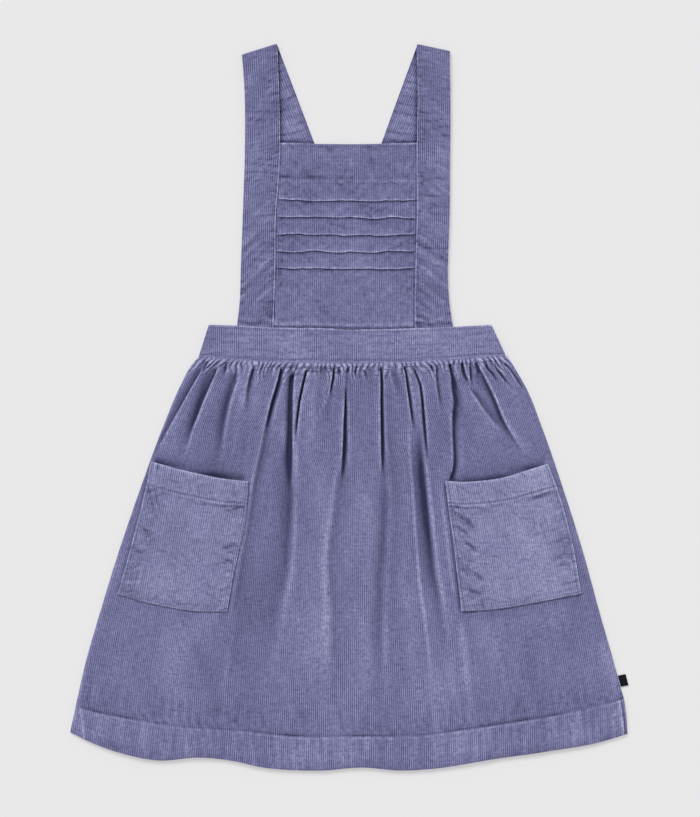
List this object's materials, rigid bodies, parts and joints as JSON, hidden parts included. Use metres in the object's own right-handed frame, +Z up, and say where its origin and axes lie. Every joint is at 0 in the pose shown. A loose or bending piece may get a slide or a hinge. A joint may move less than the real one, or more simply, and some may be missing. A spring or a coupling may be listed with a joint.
{
  "type": "pinafore dress, laid flat",
  "caption": "Child's sleeveless corduroy pinafore dress laid flat: pintucked bib, crossed back straps, waistband, gathered skirt with patch pockets and a turned hem.",
  "frame": {"origin": "on the surface that the dress lies on, under the middle of its bounding box", "axes": "+X to the right as the front is seen, +Y from the hem to the shoulders, +Z up out of the front"},
  "size_m": [0.4911, 0.6392, 0.0143],
  "materials": {
    "corduroy": "fine-wale cotton corduroy, matte with a soft pile",
    "pocket_corduroy": "the same corduroy, a little paler",
    "label_tape": "woven tape, matte"
  },
  "bodies": {
    "root": {"skirt_front": "corduroy", "skirt_back": "corduroy", "waistband_front": "corduroy", "waistband_back": "corduroy", "bib_front": "corduroy", "strap_left": "corduroy", "strap_right": "corduroy", "pocket_left": "pocket_corduroy", "pocket_right": "pocket_corduroy", "side_label": "label_tape"}
  },
  "joints": []
}
